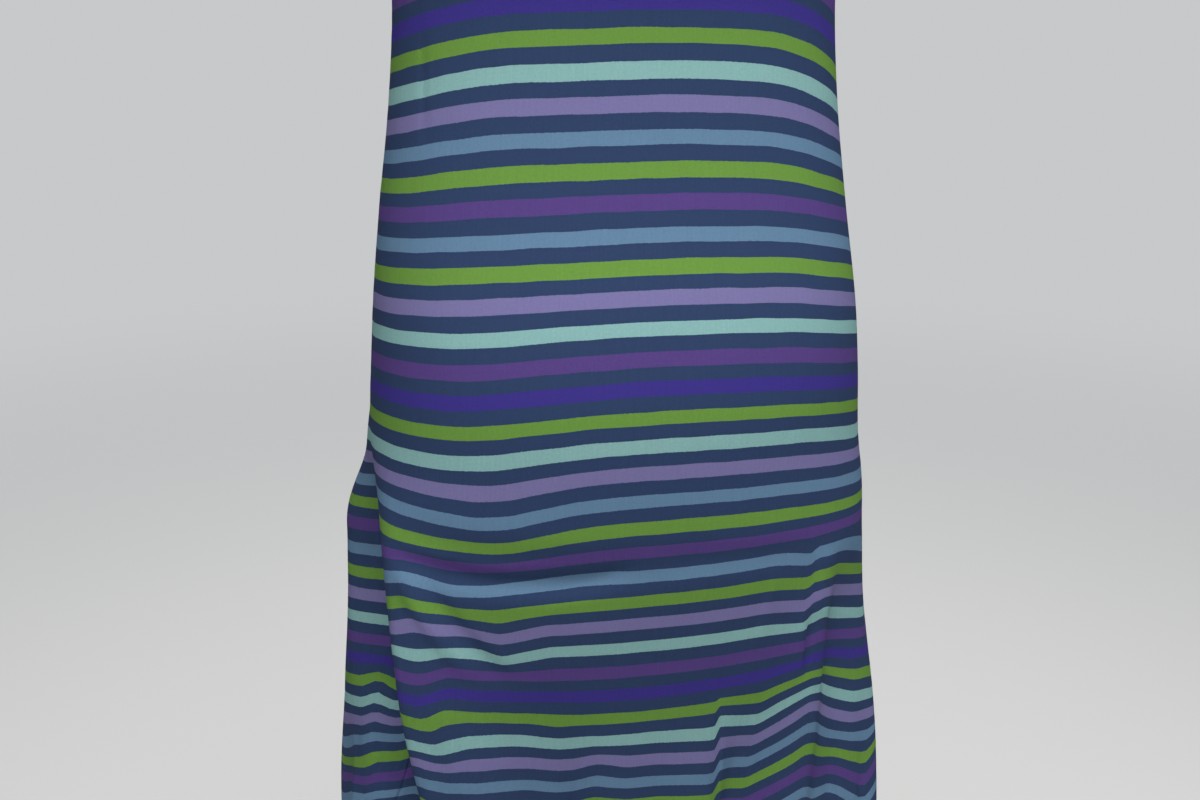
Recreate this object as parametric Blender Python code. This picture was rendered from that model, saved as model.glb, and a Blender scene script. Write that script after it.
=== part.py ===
"""Striped jersey tank dress, worn and filled out, with nobody in it.

The dress is a tube of level sections, a row each in SECTIONS, and the large folds of the
skirt are pressed into it by the rows of FOLDS.  Above the underarms the front and the back
run up as two straps each, to a seam on top of the shoulders.  Lengths are in millimetres
until a vertex is made.  The front faces -Y and +Z is up.  The origin is midway between the
tops of the straps, where the shoulders hold the dress, so every level is below zero.

A place on the tube is its level and its turn, which counts quarters of the way round from
the centre front: -1 is the left side seam as seen from the front, 1 is the right side
seam, 2 is the centre back and 3 is the left side seam again.
"""

import functools
import math
from collections import namedtuple

import bmesh
import bpy
from mathutils import Vector

MM = 0.001

WALL = 1.6
HEM_WALL = 2.6
HEM_DEPTH = 22.0
SEAM_GAP = 0.4
BINDING_WIDTH = 9.0
BINDING_PROUD = 0.45

HEM_LEVEL = -1130.0
UNDERARM_LEVEL = -205.0

Section = namedtuple("Section", "level half_width front back squareness")
SECTIONS = (
    Section(-205, 149, 117, 98, 2.2),
    Section(-250, 151, 119, 97, 2.2),
    Section(-305, 149, 111, 92, 2.2),
    Section(-360, 147, 100, 89, 2.2),
    Section(-430, 152, 96, 93, 2.2),
    Section(-500, 161, 98, 105, 2.2),
    Section(-570, 171, 105, 116, 2.2),
    Section(-620, 175, 107, 120, 2.2),
    Section(-670, 178, 103, 119, 2.2),
    Section(-725, 186, 96, 114, 2.25),
    Section(-800, 192, 81, 106, 2.3),
    Section(-880, 200, 63, 100, 2.35),
    Section(-965, 206, 48, 96, 2.4),
    Section(-1050, 210, 41, 93, 2.4),
    Section(-1130, 213, 38, 92, 2.4),
)

# A fold lies at the turn at_start where it begins and at at_hem where it meets the hem.
# It is full from the level full downwards, stands out by height (in, where that is below
# zero), and runs out over the turns `left` and `right` on its two sides.
Fold = namedtuple("Fold", "start full at_start at_hem height left right")
FOLDS = (
    Fold(-650, -860, -1.05, -0.74, -74, 0.27, 0.26),
    Fold(-650, -880, -0.87, -0.36, 15, 0.16, 0.24),
    Fold(-730, -830, 0.62, 0.55, 4, 0.14, 0.09),
    Fold(-730, -830, 0.74, 0.69, -11, 0.12, 0.17),
    Fold(-840, -960, 0.26, 0.22, 4, 0.16, 0.10),
    Fold(-840, -960, 0.40, 0.38, -9, 0.12, 0.20),
    Fold(-690, -740, 1.00, 1.00, -3.5, 0.30, 0.30),
    Fold(-740, -950, 0.95, 0.93, 4, 0.09, 0.10),
    Fold(-760, -980, -0.30, -0.22, -7, 0.22, 0.20),
    Fold(-700, -930, 1.32, 1.24, -30, 0.20, 0.24),
    Fold(-760, -940, 1.56, 1.58, 12, 0.20, 0.18),
    Fold(-740, -960, 1.90, 1.86, -16, 0.18, 0.22),
    Fold(-800, -1000, 2.18, 2.24, 10, 0.16, 0.18),
    Fold(-720, -920, 2.48, 2.44, -22, 0.18, 0.16),
    Fold(-645, -745, 2.76, 2.62, 23, 0.20, 0.20),
    Fold(-760, -960, 2.70, 2.66, 8, 0.20, 0.20),
    Fold(-480, -600, 3.00, 3.00, -4, 0.45, 0.45),
)

# Columns of the panels: from one turn to the next, and how many strips lie between them.
Span = namedtuple("Span", "start end strips")
FRONT_SPANS = (
    Span(-1.0, -0.50, 15),
    Span(-0.50, 0.10, 7),
    Span(0.10, 0.46, 6),
    Span(0.46, 1.0, 12),
)
BACK_SPANS = (
    Span(1.0, 1.54, 9),
    Span(1.54, 2.46, 14),
    Span(2.46, 2.70, 4),
    Span(2.70, 3.0, 9),
)

BODICE_ROW_STEP = 42.0
SKIRT_TOP = -640.0
SKIRT_ROW_STEP = 31.0
CHEST_ROWS = 6
STRAP_ROWS = 7
ROW_CROWDING = 1.6

# How a face of the dress runs up to the shoulder: the neckline's drop below it, the
# exponent of the rounded profile from underarm to shoulder, and -1 for the front.
Face = namedtuple("Face", "neck_drop profile side")
FRONT = Face(165.0, 1.6, -1)
BACK = Face(92.0, 1.9, 1)

NECK_HALF_WIDTH = 72.0
NECK_ROUNDNESS = 2.3
STRAP_OUTER = 119.0
SHOULDER_SLOPE = 0.33
SHOULDER_TOP_RISE = math.radians(89)
ARMHOLE_ROUNDNESS = 2.5
ARMHOLE_SCOOP = 0.03
STRAP_START = math.radians(52)
STRAP_FIRST_SHARE = 0.54

JERSEY_COLOUR = (0.045, 0.075, 0.150, 1.0)
BINDING_COLOUR = (0.030, 0.050, 0.110, 1.0)
CLOTH_ROUGHNESS = 0.9


def clear_scene():
    for obj in list(bpy.data.objects):
        bpy.data.objects.remove(obj, do_unlink=True)


def smooth(share):
    """0 to 1 with level ends, for a share of the way."""
    share = min(max(share, 0.0), 1.0)
    return share * share * (3 - 2 * share)


def mix(a, b, share):
    return a + (b - a) * share


def rising_power(value, exponent):
    return max(value, 0.0) ** exponent


# --- the tube below the underarms ---


@functools.lru_cache(maxsize=None)
def section_at(level):
    """The section at a level, on a smooth curve through the rows of SECTIONS."""
    last = len(SECTIONS) - 2
    row = 0
    while row < last and level < SECTIONS[row + 1].level:
        row += 1
    near, far = SECTIONS[row], SECTIONS[row + 1]
    before = SECTIONS[max(row - 1, 0)]
    after = SECTIONS[min(row + 2, last + 1)]
    t = (level - near.level) / (far.level - near.level)
    span = far.level - near.level
    values = [level]
    for column in range(1, len(near)):
        slope_near = (far[column] - before[column]) / (far.level - before.level) * span
        slope_far = (after[column] - near[column]) / (after.level - near.level) * span
        values.append(
            near[column] * (1 + 2 * t) * (1 - t) ** 2
            + slope_near * t * (1 - t) ** 2
            + far[column] * (3 - 2 * t) * t**2
            + slope_far * (t - 1) * t**2
        )
    return Section(*values)


@functools.lru_cache(maxsize=None)
def quarter_outline(half_width, depth, squareness):
    """Points of a quarter section from its centre to its side, with the way run so far."""
    steps = 90
    points = []
    for step in range(steps + 1):
        angle = math.pi / 2 * step / steps
        across = half_width * rising_power(math.sin(angle), 2 / squareness)
        along = depth * rising_power(math.cos(angle), 2 / squareness)
        points.append((across, along))
    run = [0.0]
    for a, b in zip(points, points[1:]):
        run.append(run[-1] + math.dist(a, b))
    return points, run


def quarter_point(share, half_width, depth, squareness):
    """The point that far along the quarter section, by length."""
    points, run = quarter_outline(half_width, depth, squareness)
    wanted = share * run[-1]
    step = 1
    while step < len(run) - 1 and run[step] < wanted:
        step += 1
    inner, outer = points[step - 1], points[step]
    part = (wanted - run[step - 1]) / (run[step] - run[step - 1])
    return mix(inner[0], outer[0], part), mix(inner[1], outer[1], part)


def fold_height(turn, level):
    """How far the folds move the cloth out from the dress's axis at this place."""
    total = 0.0
    for fold in FOLDS:
        if level >= fold.start:
            continue
        grown = smooth((fold.start - level) / (fold.start - fold.full))
        down = (fold.start - level) / (fold.start - HEM_LEVEL)
        away = (turn - mix(fold.at_start, fold.at_hem, down) + 2) % 4 - 2
        reach = abs(away) / (fold.left if away < 0 else fold.right)
        if reach < 1:
            total += fold.height * grown * (0.5 + 0.5 * math.cos(math.pi * reach))
    return total


def tube_point(turn, level):
    """The outer surface of the cloth at a turn and a level."""
    turn = (turn + 1) % 4 - 1
    section = section_at(level)
    on_back = turn > 1
    across = 2 - turn if on_back else turn
    depth = section.back if on_back else section.front
    x, y = quarter_point(abs(across), section.half_width, depth, section.squareness)
    scale = 1 + fold_height(turn, level) / math.hypot(x, y)
    face = 1 if on_back else -1
    return Vector((math.copysign(x, across) * scale, face * y * scale, level))


def tube_normal(turn, level):
    around = tube_point(turn + 0.006, level) - tube_point(turn - 0.006, level)
    upward = tube_point(turn, level + 2) - tube_point(turn, level - 2)
    return around.cross(upward).normalized()


# --- chest, back and straps above the underarms ---


def shoulder_level(x):
    return -SHOULDER_SLOPE * (abs(x) - NECK_HALF_WIDTH)


def depth_of(face):
    section = section_at(UNDERARM_LEVEL)
    return section.front if face.side < 0 else section.back


def share_at(face, x):
    """The share of the underarm quarter's length at which it reaches this x."""
    section = section_at(UNDERARM_LEVEL)
    points, run = quarter_outline(
        section.half_width, depth_of(face), section.squareness
    )
    step = 1
    while points[step][0] < x:
        step += 1
    inner, outer = points[step - 1], points[step]
    part = (x - inner[0]) / (outer[0] - inner[0])
    return mix(run[step - 1], run[step], part) / run[-1]


def upper_point(face, share, rise):
    """A point above the underarms, at a signed share of the quarter's length; rise is 0
    at the underarm level and a right angle on top of the shoulder."""
    section = section_at(UNDERARM_LEVEL)
    x, y = quarter_point(
        abs(share), section.half_width, depth_of(face), section.squareness
    )
    y *= rising_power(math.cos(rise), 2 / face.profile)
    height = shoulder_level(x) - UNDERARM_LEVEL
    z = UNDERARM_LEVEL + height * rising_power(math.sin(rise), 2 / face.profile)
    return Vector((math.copysign(x, share), face.side * max(y, SEAM_GAP / 2), z))


def upper_normal(face, share, rise):
    if rise > SHOULDER_TOP_RISE:
        return Vector((math.copysign(SHOULDER_SLOPE, share), 0, 1)).normalized()
    step = 0.003
    low = max(share - step, -1.0)
    high = min(share + step, 1.0)
    across = upper_point(face, high, rise) - upper_point(face, low, rise)
    upward = upper_point(face, share, rise + step) - upper_point(face, share, rise - step)
    return across.cross(upward).normalized() * -face.side


def rise_of(face, way_up):
    """The rise at which that share of the height to the shoulder is reached."""
    return math.asin(min(rising_power(way_up, face.profile / 2), 1.0))


def armhole_edge(face, angle):
    """The armhole's share and rise at an angle of its curve, from 0 at the underarm."""
    inward = rising_power(math.sin(angle), 2 / ARMHOLE_ROUNDNESS)
    way_up = 1 - rising_power(math.cos(angle), 2 / ARMHOLE_ROUNDNESS)
    share = mix(1, share_at(face, STRAP_OUTER), inward)
    share -= ARMHOLE_SCOOP * 4 * way_up * (1 - way_up)
    return share, rise_of(face, way_up)


def neck_edge(face, angle):
    """The neckline's share and rise at an angle of its U, from 0 at the centre."""
    x = NECK_HALF_WIDTH * rising_power(math.sin(angle), 2 / NECK_ROUNDNESS)
    level = -face.neck_drop * rising_power(math.cos(angle), 2 / NECK_ROUNDNESS)
    way_up = (level - UNDERARM_LEVEL) / (shoulder_level(x) - UNDERARM_LEVEL)
    return share_at(face, x), rise_of(face, way_up)


def neck_rise_at(face, share):
    section = section_at(UNDERARM_LEVEL)
    x = quarter_point(
        abs(share), section.half_width, depth_of(face), section.squareness
    )[0]
    angle = math.asin((x / NECK_HALF_WIDTH) ** (NECK_ROUNDNESS / 2))
    return neck_edge(face, angle)[1]


# --- panels as grids of columns and rows ---


def column_turns(spans):
    turns = [spans[0].start]
    for span in spans:
        for strip in range(1, span.strips + 1):
            turns.append(mix(span.start, span.end, strip / span.strips))
    return turns


def row_levels():
    """Levels from the hem up to the underarms."""
    levels = [HEM_LEVEL, HEM_LEVEL + HEM_DEPTH, HEM_LEVEL + HEM_DEPTH + 2]
    count = round((SKIRT_TOP - levels[-1]) / SKIRT_ROW_STEP)
    start = levels[-1]
    levels += [mix(start, SKIRT_TOP, row / count) for row in range(1, count + 1)]
    count = round((UNDERARM_LEVEL - SKIRT_TOP) / BODICE_ROW_STEP)
    levels += [
        mix(SKIRT_TOP, UNDERARM_LEVEL, row / count) for row in range(1, count + 1)
    ]
    return levels


def seam_turn(turn, level, seam):
    """A turn moved off its side seam, so that the two panels leave half the gap each."""
    section = section_at(level)
    depth = section.front if abs(turn) <= 1 else section.back
    run = quarter_outline(section.half_width, depth, section.squareness)[1][-1]
    inward = SEAM_GAP / 2 / run
    return turn + inward if seam == "start" else turn - inward


def tube_rows(spans, levels):
    """Points and normals of the rows up to the underarms."""
    turns = column_turns(spans)
    rows = []
    for level in levels:
        row = []
        for column, turn in enumerate(turns):
            if column == 0:
                turn = seam_turn(turn, level, "start")
            elif column == len(turns) - 1:
                turn = seam_turn(turn, level, "end")
            row.append((tube_point(turn, level), tube_normal(turn, level)))
        rows.append(row)
    return rows


class Upper:
    """The columns above the underarms, from the signed share that each has there."""

    def __init__(self, face, turns):
        centre = 0 if face.side < 0 else 2
        self.face = face
        self.shares = [face.side * (centre - turn) for turn in turns]
        far = [abs(share) > STRAP_FIRST_SHARE for share in self.shares]
        self.first_inner = far.index(False) - 1
        self.last_inner = len(far) - far[::-1].index(False)
        self.neck_share, self.neck_rise = neck_edge(face, STRAP_START)

    def chest_place(self, column, way):
        """Share and rise between the underarm level, at way 0, and the neck row, at 1."""
        share = self.shares[column]
        start = abs(self.shares[self.inner_of(column)])
        inner = mix(start, self.neck_share, way)
        if self.first_inner < column < self.last_inner:
            rise = way * neck_rise_at(self.face, share / start * self.neck_share)
            return share / start * inner, rise
        return self.between(column, (inner, way * self.neck_rise), way * STRAP_START)

    def strap_place(self, column, way):
        """Share and rise between the neck row, at way 0, and the shoulder seam, at 1."""
        angle = mix(math.pi / 2, STRAP_START, (1 - way) ** ROW_CROWDING)
        return self.between(column, neck_edge(self.face, angle), angle)

    def between(self, column, inner, armhole_angle):
        """A strap column's share and rise, between its inner edge and the armhole's."""
        outer = armhole_edge(self.face, armhole_angle)
        place = self.place_on_strap(column)
        share = math.copysign(mix(inner[0], outer[0], place), self.shares[column])
        return share, mix(inner[1], outer[1], place)

    def inner_of(self, column):
        """The strap column at the neck edge, on this column's side."""
        same_side = self.shares[column] * self.shares[self.first_inner] > 0
        return self.first_inner if same_side else self.last_inner

    def place_on_strap(self, column):
        inner = abs(self.shares[self.inner_of(column)])
        return (abs(self.shares[column]) - inner) / (1 - inner)


class Panel:
    """A front or back: its points and normals by (column, row), and its cells."""

    def __init__(self, face, spans):
        turns = column_turns(spans)
        levels = row_levels()
        tube = tube_rows(spans, levels)
        self.points = {}
        self.normals = {}
        self.cells = []
        for row, places in enumerate(tube):
            for column, (point, normal) in enumerate(places):
                self.points[column, row] = point
                self.normals[column, row] = normal
        self.last_column = len(turns) - 1
        self.underarm_row = len(levels) - 1
        self.neck_row = self.underarm_row + CHEST_ROWS
        self.top_row = self.neck_row + STRAP_ROWS
        self.upper = Upper(face, turns)
        self.add_chest()
        self.add_straps()
        self.add_cells()

    def on_strap(self, column):
        upper = self.upper
        return column <= upper.first_inner or column >= upper.last_inner

    def add_upper(self, column, row, place):
        self.points[column, row] = upper_point(self.upper.face, *place)
        self.normals[column, row] = upper_normal(self.upper.face, *place)

    def add_chest(self):
        for row in range(1, CHEST_ROWS + 1):
            for column in range(self.last_column + 1):
                place = self.upper.chest_place(column, row / CHEST_ROWS)
                self.add_upper(column, self.underarm_row + row, place)

    def add_straps(self):
        for row in range(1, STRAP_ROWS + 1):
            for column in filter(self.on_strap, range(self.last_column + 1)):
                place = self.upper.strap_place(column, row / STRAP_ROWS)
                self.add_upper(column, self.neck_row + row, place)

    def add_cells(self):
        for column, row in self.points:
            if column == self.last_column or row == self.top_row:
                continue
            corners = [
                (column, row),
                (column + 1, row),
                (column + 1, row + 1),
                (column, row + 1),
            ]
            spans_neck = column == self.upper.first_inner and row >= self.neck_row
            if not spans_neck and all(corner in self.points for corner in corners):
                self.cells.append(corners)

    def wall(self, row):
        return HEM_WALL if row <= 1 else WALL

    def edge(self, places):
        """Point and normal at each of the places, in order."""
        return [(self.points[place], self.normals[place]) for place in places]

    def armhole_edge(self, column):
        rows = range(self.underarm_row, self.top_row + 1)
        return self.edge([(column, row) for row in rows])

    def neck_edge(self):
        """From the top of the first strap, round the neckline, to the top of the other."""
        first, last = self.upper.first_inner, self.upper.last_inner
        down = [(first, row) for row in range(self.top_row, self.neck_row, -1)]
        across = [(column, self.neck_row) for column in range(first, last + 1)]
        up = [(last, row) for row in range(self.neck_row + 1, self.top_row + 1)]
        return self.edge(down + across + up)


# --- solids ---


def cloth_material(name, colour):
    material = bpy.data.materials.new(name)
    material.use_nodes = True
    shader = material.node_tree.nodes["Principled BSDF"]
    shader.inputs["Base Color"].default_value = colour
    shader.inputs["Roughness"].default_value = CLOTH_ROUGHNESS
    shader.inputs["Metallic"].default_value = 0.0
    return material


def finished_object(name, bm, material):
    bmesh.ops.recalc_face_normals(bm, faces=bm.faces)
    mesh = bpy.data.meshes.new(name)
    bm.to_mesh(mesh)
    bm.free()
    mesh.shade_smooth()
    mesh.materials.append(material)
    obj = bpy.data.objects.new(name, mesh)
    bpy.context.collection.objects.link(obj)
    return obj


def panel_solid(name, panel, material):
    """The panel's cells as an outer and an inner sheet, closed along their edges."""
    bm = bmesh.new()
    outer = {}
    inner = {}
    for place, point in panel.points.items():
        under = point - panel.normals[place] * panel.wall(place[1])
        outer[place] = bm.verts.new(point * MM)
        inner[place] = bm.verts.new(under * MM)
    rim = {}
    for corners in panel.cells:
        bm.faces.new([outer[corner] for corner in corners])
        bm.faces.new([inner[corner] for corner in reversed(corners)])
        for a, b in zip(corners, corners[1:] + corners[:1]):
            if rim.pop((b, a), None) is None:
                rim[a, b] = True
    for a, b in rim:
        bm.faces.new([outer[b], outer[a], inner[a], inner[b]])
    return finished_object(name, bm, material)


def joined_loop(front_edge, back_edge):
    """Two edges that meet at both ends, as one closed loop with the meeting points merged."""

    def merged(a, b):
        return (a[0] + b[0]) / 2, (a[1] + b[1]).normalized()

    start = merged(front_edge[0], back_edge[-1])
    end = merged(front_edge[-1], back_edge[0])
    return [start] + front_edge[1:-1] + [end] + back_edge[1:-1]


def open_side(loop):
    """At each point of a loop, the direction along the cloth into the opening."""
    ways = []
    for place, (_, normal) in enumerate(loop):
        along = loop[(place + 1) % len(loop)][0] - loop[place - 1][0]
        ways.append(along.cross(normal).normalized())
    centre = sum((point for point, _ in loop), Vector()) / len(loop)
    inward = sum(way.dot(centre - point) for way, (point, _) in zip(ways, loop))
    return ways if inward > 0 else [-way for way in ways]


def binding_solid(name, loop, material):
    """A folded strip along a loop of the panels' edges, on the open side of it."""
    bm = bmesh.new()
    rings = []
    for (point, normal), way in zip(loop, open_side(loop)):
        near = point + way * SEAM_GAP
        far = point + way * (SEAM_GAP + BINDING_WIDTH)
        above = normal * BINDING_PROUD
        below = normal * (-WALL - BINDING_PROUD)
        corners = (near + above, far + above, far + below, near + below)
        rings.append([bm.verts.new(corner * MM) for corner in corners])
    for place, ring in enumerate(rings):
        ahead = rings[(place + 1) % len(rings)]
        for side in range(4):
            other = (side + 1) % 4
            bm.faces.new([ring[side], ring[other], ahead[other], ahead[side]])
    return finished_object(name, bm, material)


def build():
    clear_scene()
    jersey = cloth_material("striped_jersey", JERSEY_COLOUR)
    trim = cloth_material("jersey_binding", BINDING_COLOUR)
    front = Panel(FRONT, FRONT_SPANS)
    back = Panel(BACK, BACK_SPANS)
    panel_solid("front_panel", front, jersey)
    panel_solid("back_panel", back, jersey)
    neck = joined_loop(front.neck_edge(), back.neck_edge())
    binding_solid("neck_binding", neck, trim)
    sides = (
        ("armhole_binding_left", 0, back.last_column),
        ("armhole_binding_right", front.last_column, 0),
    )
    for name, front_column, back_column in sides:
        down_back = back.armhole_edge(back_column)[::-1]
        loop = joined_loop(front.armhole_edge(front_column), down_back)
        binding_solid(name, loop, trim)


build()
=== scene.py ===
"""The looks of a striped jersey tank dress, worn and filled out, with nobody in it.

Each panel is one thin sheet, laid on the form that its solid has and then creased.  A place
on the tube of the dress is its level, in millimetres below the shoulders, and its turn,
which counts quarters of the way round from the centre front: -1 is the left side seam as
seen from the front, 1 is the right side seam, 2 is the centre back and 3 is the left side
seam again.  Lengths are in millimetres until a point of a mesh is made.
"""

import functools
import math
from bisect import bisect_left
from collections import namedtuple

import bmesh
import bpy
from bpy.props import FloatProperty, FloatVectorProperty, PointerProperty
from mathutils import Color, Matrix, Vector, noise


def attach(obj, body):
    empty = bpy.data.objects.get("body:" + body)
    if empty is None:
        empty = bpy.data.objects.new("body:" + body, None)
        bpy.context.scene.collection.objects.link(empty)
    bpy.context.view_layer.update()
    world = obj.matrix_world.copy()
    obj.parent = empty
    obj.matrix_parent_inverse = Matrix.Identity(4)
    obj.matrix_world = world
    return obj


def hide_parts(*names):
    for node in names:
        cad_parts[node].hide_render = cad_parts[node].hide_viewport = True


bl_info = {
    "name": "Striped tank dress",
    "version": (1, 0, 0),
    "blender": (4, 5, 0),
    "location": "3D View > Sidebar > Dress",
    "description": "Jersey panels, bindings, stitching and stage of a striped tank dress",
    "category": "Object",
}

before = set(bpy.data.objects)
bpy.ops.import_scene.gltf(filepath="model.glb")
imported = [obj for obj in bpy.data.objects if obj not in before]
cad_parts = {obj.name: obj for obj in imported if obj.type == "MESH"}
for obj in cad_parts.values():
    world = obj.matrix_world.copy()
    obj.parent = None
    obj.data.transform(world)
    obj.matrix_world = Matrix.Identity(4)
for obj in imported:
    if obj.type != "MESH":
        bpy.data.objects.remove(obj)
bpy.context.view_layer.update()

MM = 0.001


def table(kind, *rows):
    """Rows of plain values, as a table whose columns have the kind's names."""
    return tuple(kind(*row) for row in rows)


# --- the form, as the solids have it ---

HEM_LEVEL = -1130.0
UNDERARM_LEVEL = -205.0
SEAM_GAP = 0.4

Section = namedtuple("Section", "level half_width front back squareness")
SECTIONS = table(
    Section,
    (-205, 149, 117, 98, 2.2),
    (-250, 151, 119, 97, 2.2),
    (-305, 149, 111, 92, 2.2),
    (-360, 147, 100, 89, 2.2),
    (-430, 152, 96, 93, 2.2),
    (-500, 161, 98, 105, 2.2),
    (-570, 171, 105, 116, 2.2),
    (-620, 175, 107, 120, 2.2),
    (-670, 178, 103, 119, 2.2),
    (-725, 186, 96, 114, 2.25),
    (-800, 192, 81, 106, 2.3),
    (-880, 200, 63, 100, 2.35),
    (-965, 206, 48, 96, 2.4),
    (-1050, 210, 41, 93, 2.4),
    (-1130, 213, 38, 92, 2.4),
)

# A fold lies at the turn at_start where it begins and at at_hem where it meets the hem.
# It is full from the level full downwards, stands out by height (in, where that is below
# zero), and runs out over the turns `left` and `right` on its two sides.
Fold = namedtuple("Fold", "start full at_start at_hem height left right")
FOLDS = table(
    Fold,
    (-650, -860, -1.05, -0.74, -74, 0.27, 0.26),
    (-650, -880, -0.87, -0.36, 15, 0.16, 0.24),
    (-730, -830, 0.62, 0.55, 4, 0.14, 0.09),
    (-730, -830, 0.74, 0.69, -11, 0.12, 0.17),
    (-840, -960, 0.26, 0.22, 4, 0.16, 0.10),
    (-840, -960, 0.40, 0.38, -9, 0.12, 0.20),
    (-690, -740, 1.00, 1.00, -3.5, 0.30, 0.30),
    (-740, -950, 0.95, 0.93, 4, 0.09, 0.10),
    (-760, -980, -0.30, -0.22, -7, 0.22, 0.20),
    (-700, -930, 1.32, 1.24, -30, 0.20, 0.24),
    (-760, -940, 1.56, 1.58, 12, 0.20, 0.18),
    (-740, -960, 1.90, 1.86, -16, 0.18, 0.22),
    (-800, -1000, 2.18, 2.24, 10, 0.16, 0.18),
    (-720, -920, 2.48, 2.44, -22, 0.18, 0.16),
    (-645, -745, 2.76, 2.62, 23, 0.20, 0.20),
    (-760, -960, 2.70, 2.66, 8, 0.20, 0.20),
    (-480, -600, 3.00, 3.00, -4, 0.45, 0.45),
)

# How a face of the dress runs up to the shoulder: the neckline's drop below it, the
# exponent of the rounded profile from underarm to shoulder, and -1 for the front.
Face = namedtuple("Face", "neck_drop profile side")
FRONT = Face(165.0, 1.6, -1)
BACK = Face(92.0, 1.9, 1)

NECK_HALF_WIDTH = 72.0
NECK_ROUNDNESS = 2.3
STRAP_OUTER = 119.0
SHOULDER_SLOPE = 0.33
SHOULDER_TOP_RISE = math.radians(89)
ARMHOLE_ROUNDNESS = 2.5
ARMHOLE_SCOOP = 0.03
STRAP_START = math.radians(52)
STRAP_FIRST_SHARE = 0.54
STRAP_GIVE = 0.8

# Steps for measuring along the form and for its slopes.
OUTLINE_STEPS = 90
LENGTH_STEPS = 12
TURN_STEP = 0.006
LEVEL_STEP = 2.0
UPPER_STEP = 0.003

# --- how finely the sheets are laid ---

# Columns of the panels: from one turn to the next, and how many strips lie between them.
Span = namedtuple("Span", "start end strips")
FRONT_SPANS = table(
    Span,
    (-1.0, -0.985, 3),
    (-0.985, -0.50, 38),
    (-0.50, 0.22, 42),
    (0.22, 0.40, 40),
    (0.40, 0.985, 40),
    (0.985, 1.0, 3),
)
BACK_SPANS = table(
    Span,
    (1.0, 1.015, 3),
    (1.015, 1.54, 30),
    (1.54, 2.46, 48),
    (2.46, 2.985, 36),
    (2.985, 3.0, 3),
)
CHEST_ROWS = 10
STRAP_ROWS = 46
ROW_CROWDING = 1.3
ROLL_ROWS = 4
TURN_UP_ROWS = 6
STITCHED_STEP = 1.4
STITCHED_MARGIN = 5.0

# --- the cloth's own marks ---

# Stripes are level rings of the cloth.  The middle of the stripe numbered 0 lies at
# FIRST_STRIPE_LEVEL, moved down by what SAGS and LIFTS say for its place.
STRIPES = (
    "violet", "green", "mint", "lavender", "blue", "green",
    "purple", "blue", "green", "lavender", "mint", "purple",
)
FIRST_STRIPE_LEVEL = -355.0

# How far the rings have sunk below their even places: at the centre front, then in the
# long curve to each side, and in the steeper bend that begins at the turn SAG_EDGE_START.
Sag = namedtuple("Sag", "level centre left left_edge right right_edge")
SAGS = table(
    Sag,
    (-205, 0, 8, 12, 20, 16),
    (-360, 0, 11, 18, 27, 20),
    (-440, 3, 10, 16, 28, 20),
    (-520, 5, 16, 2, 25, 12),
    (-600, 4, 33, -15, 29, 7),
    (-660, 3, 45, -29, 21, 10),
    (-700, 3, 54, -47, 14, 8),
    (-740, 1, 37, -31, -3, 10),
    (-800, -2, -7, 18, -4, 4),
    (-860, -1, -32, 32, -15, 1),
    (-920, -1, -33, 15, -19, -2),
    (-960, -3, -30, 0, -16, -2),
    (-1130, 0, -3, 0, -2, 0),
)
CREST_SHARPNESS = 1.3
CREST_ROUNDING = 0.12
SAG_EDGE_START = 0.4
SAG_EDGE_REACH = 0.7
BACK_SETTLE = 0.3
# Behind, the right side's sag turns into the left side's from this turn on, over that reach.
SAG_CROSSING_START = 1.4
SAG_CROSSING_REACH = 1.2

# Where a fold carries the rings down by `drop` (up, where it is below zero): it begins at
# the level `top`, is whole from `whole` to `fading` and is gone at `bottom`.  It lies at
# `turn` at its top and at `end_turn` at its bottom, and runs out to its two sides.
Lift = namedtuple("Lift", "top whole fading bottom turn end_turn drop left right")
LIFTS = table(
    Lift,
    (-640, -690, -715, -740, -0.38, -0.38, 3, 0.25, 0.25),
    (-712, -745, -768, -800, -0.72, -0.64, -8, 0.13, 0.14),
    (-748, -785, -800, -822, -0.42, -0.41, 8, 0.14, 0.16),
    (-780, -800, -840, -880, -0.72, -0.68, -5, 0.10, 0.07),
    (-785, -815, -850, -880, -0.56, -0.56, -5, 0.06, 0.10),
    (-842, -856, -880, -905, -0.59, -0.57, 6, 0.06, 0.09),
    (-870, -890, -965, -1150, -0.62, -0.62, -6, 0.20, 0.08),
    (-840, -870, -965, -1150, -0.24, -0.24, 3, 0.12, 0.12),
    (-870, -900, -965, -1150, -0.10, -0.10, -5, 0.10, 0.10),
    (-845, -895, -965, -1150, 0.268, 0.351, 5, 0.22, 0.017),
    (-838, -868, -965, -1150, 0.283, 0.366, -6, 0.013, 0.14),
    (-722, -742, -790, -812, 0.565, 0.54, 5, 0.14, 0.03),
    (-758, -785, -815, -850, 0.61, 0.61, -6, 0.05, 0.10),
    (-812, -876, -965, -1150, 0.60, 0.58, -22, 0.165, 0.24),
    (-722, -765, -965, -1150, 0.91, 0.91, 17, 0.24, 0.38),
    (-895, -965, -965, -1150, 0.78, 0.78, -15, 0.10, 0.13),
    (-835, -850, -880, -925, 0.95, 0.95, 6, 0.06, 0.10),
    (-900, -945, -965, -1150, 0.94, 0.94, -11, 0.05, 0.32),
    (-650, -695, -760, -820, -1.22, -1.22, 9, 0.35, 0.26),
    (-735, -865, -965, -1150, -1.25, -1.23, 17, 0.45, 0.22),
    (-865, -930, -965, -1150, -1.24, -1.23, 14, 0.45, 0.20),
    (-835, -862, -880, -960, -1.11, -1.02, -8, 0.05, 0.035),
    (-850, -900, -965, -1150, -0.98, -0.95, -20, 0.09, 0.10),
)

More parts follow.
